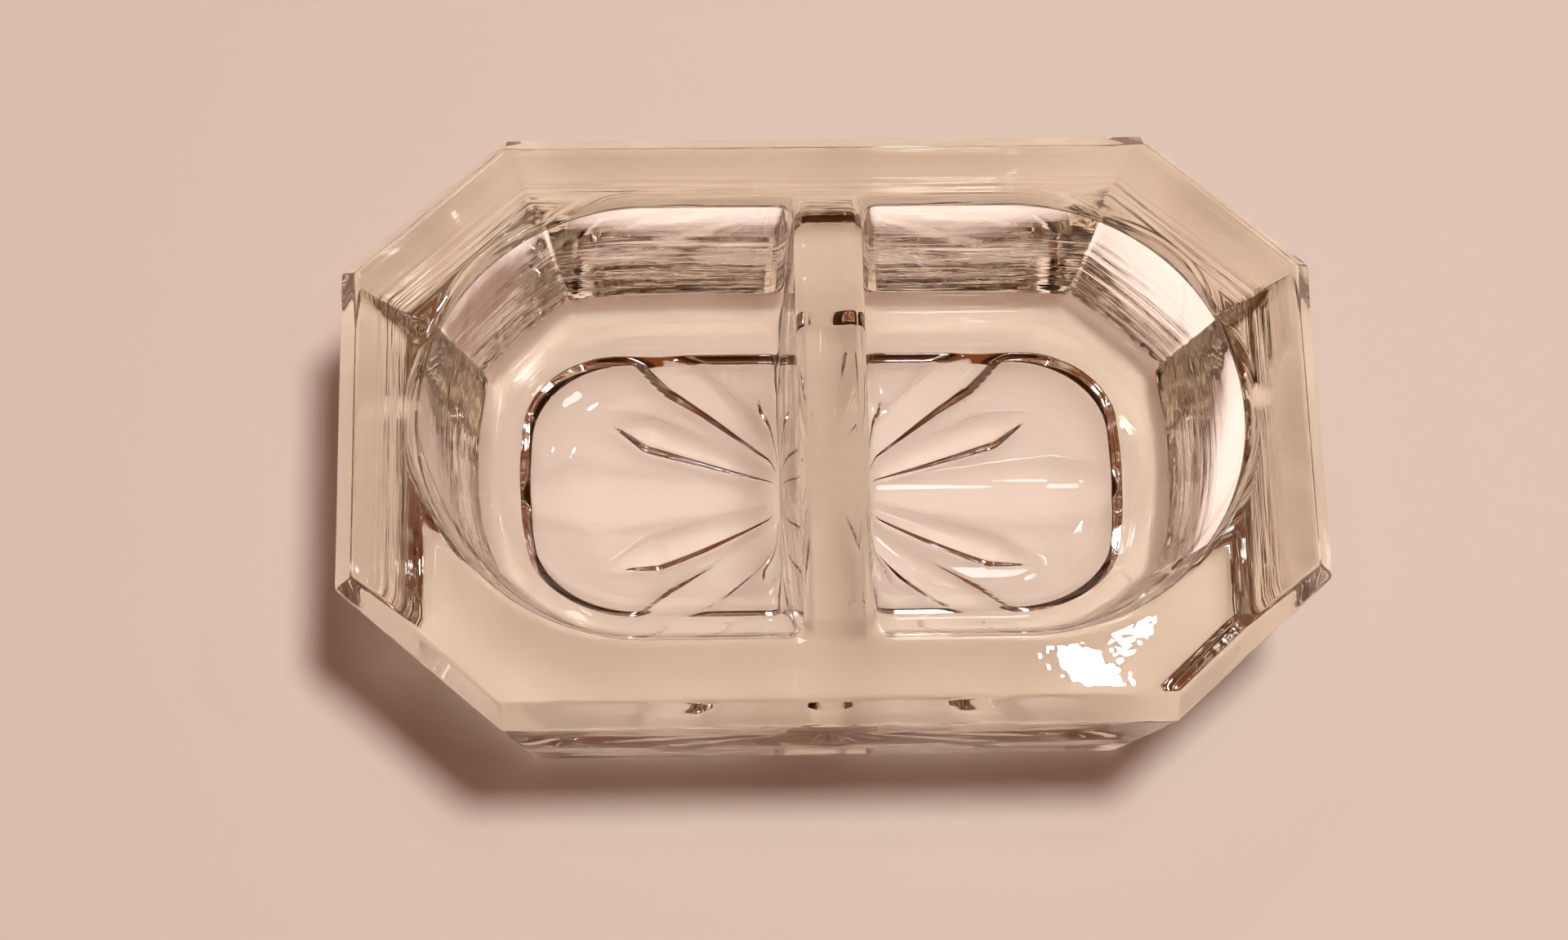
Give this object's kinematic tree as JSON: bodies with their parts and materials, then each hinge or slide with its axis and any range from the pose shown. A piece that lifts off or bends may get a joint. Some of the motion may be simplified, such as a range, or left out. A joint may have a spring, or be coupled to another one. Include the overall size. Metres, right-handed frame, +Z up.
{
  "type": "double open salt",
  "caption": "Octagonal pressed glass table salt with two open wells, a divider flush with the rim, and a star in relief in the recess under it.",
  "frame": {"origin": "on the table plane, under the middle of the block", "axes": "+X along the length from well to well, +Y across the width away from the viewer, +Z up"},
  "size_m": [0.0904, 0.0572, 0.0267],
  "materials": {
    "clear_glass": "clear pressed soda-lime glass, fire polished, with a slight warm tint"
  },
  "bodies": {
    "root": {"glass_dish": "clear_glass"}
  },
  "joints": []
}
